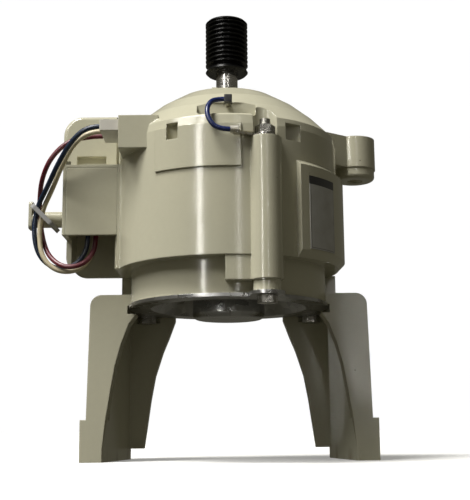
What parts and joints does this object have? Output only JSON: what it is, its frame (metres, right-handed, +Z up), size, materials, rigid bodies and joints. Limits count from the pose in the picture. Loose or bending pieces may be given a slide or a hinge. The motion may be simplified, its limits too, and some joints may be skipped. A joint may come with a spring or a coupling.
{
  "type": "washing machine motor",
  "caption": "Brushless washing machine drive motor with moulded legged housing, ribbed belt pulley, end shield, cable box and leads.",
  "frame": {"origin": "where the shaft's axis meets the plane that the two feet stand on", "axes": "+Z up the shaft towards the pulley, +X to the right and +Y away from the viewer, with the cable box at -X and the legs and ears towards +Y"},
  "size_m": [0.1772, 0.1141, 0.2215],
  "materials": {
    "housing_plastic": "glossy cream moulding",
    "black_rubber": "matte",
    "tie_nylon": "semi-gloss grey nylon",
    "plug_nylon": "semi-gloss white nylon",
    "tinned_brass": "tinned",
    "blue_insulation": "semi-gloss",
    "white_insulation": "semi-gloss",
    "red_insulation": "semi-gloss",
    "earth_insulation": "semi-gloss",
    "boot_plastic": "matte",
    "label_film": "satin, bare",
    "galvanised_steel": "galvanised, pressed",
    "zinc_steel": "zinc plated",
    "core_steel": "stacked laminations",
    "insulator_plastic": "matte",
    "enamelled_copper": "clear enamel",
    "board_laminate": "satin",
    "black_plastic": "matte",
    "bearing_steel": "ground and polished",
    "cage_steel": "pressed",
    "spring_steel": "satin",
    "shaft_steel": "ground",
    "black_oxide_steel": "glossy black",
    "magnet_ferrite": "matte",
    "end_ring_aluminium": "machined"
  },
  "bodies": {
    "housing": {"stator_housing": "housing_plastic", "cable_cover": "housing_plastic", "lead_grommet": "black_rubber", "tie_pin": "housing_plastic", "cable_tie": "tie_nylon", "terminal_plug": "plug_nylon", "terminal_pins": "tinned_brass", "blue_lead": "blue_insulation", "white_lead": "white_insulation", "red_lead": "red_insulation", "earth_lead": "earth_insulation", "earth_boot": "boot_plastic", "earth_blade": "tinned_brass", "earth_ring_terminal": "tinned_brass", "rating_label": "label_film", "end_shield": "galvanised_steel", "through_bolts": "zinc_steel", "spring_washers": "zinc_steel", "hex_nuts": "zinc_steel", "stator_core": "core_steel", "upper_insulator": "insulator_plastic", "lower_insulator": "insulator_plastic", "windings": "enamelled_copper", "sensor_board": "board_laminate", "position_sensors": "black_plastic", "lower_outer_ring": "bearing_steel", "upper_outer_ring": "bearing_steel", "wave_washer": "spring_steel"},
    "rotor": {"shaft": "shaft_steel", "retaining_ring": "spring_steel", "belt_pulley": "black_oxide_steel", "rotor_core": "core_steel", "rotor_magnets": "magnet_ferrite", "lower_end_ring": "end_ring_aluminium", "upper_end_ring": "end_ring_aluminium", "lower_inner_ring": "bearing_steel", "upper_inner_ring": "bearing_steel"},
    "upper_ball_set": {"upper_balls": "bearing_steel", "upper_cage": "cage_steel"},
    "lower_ball_set": {"lower_balls": "bearing_steel", "lower_cage": "cage_steel"}
  },
  "joints": [
    {"name": "rotor_spin", "type": "hinge", "parent": "housing", "child": "rotor", "pos_m": [0, 0, 0.116], "axis": [0, 0, 1], "continuous": true},
    {"name": "upper_balls_spin", "type": "hinge", "parent": "housing", "child": "upper_ball_set", "pos_m": [0, 0, 0.165], "axis": [0, 0, 1], "continuous": true},
    {"name": "lower_balls_spin", "type": "hinge", "parent": "housing", "child": "lower_ball_set", "pos_m": [0, 0, 0.0757], "axis": [0, 0, 1], "continuous": true}
  ],
  "couplings": [
    {"joint": "upper_balls_spin", "follows": "rotor_spin", "ratio": 0.3648},
    {"joint": "lower_balls_spin", "follows": "rotor_spin", "ratio": 0.3648}
  ]
}
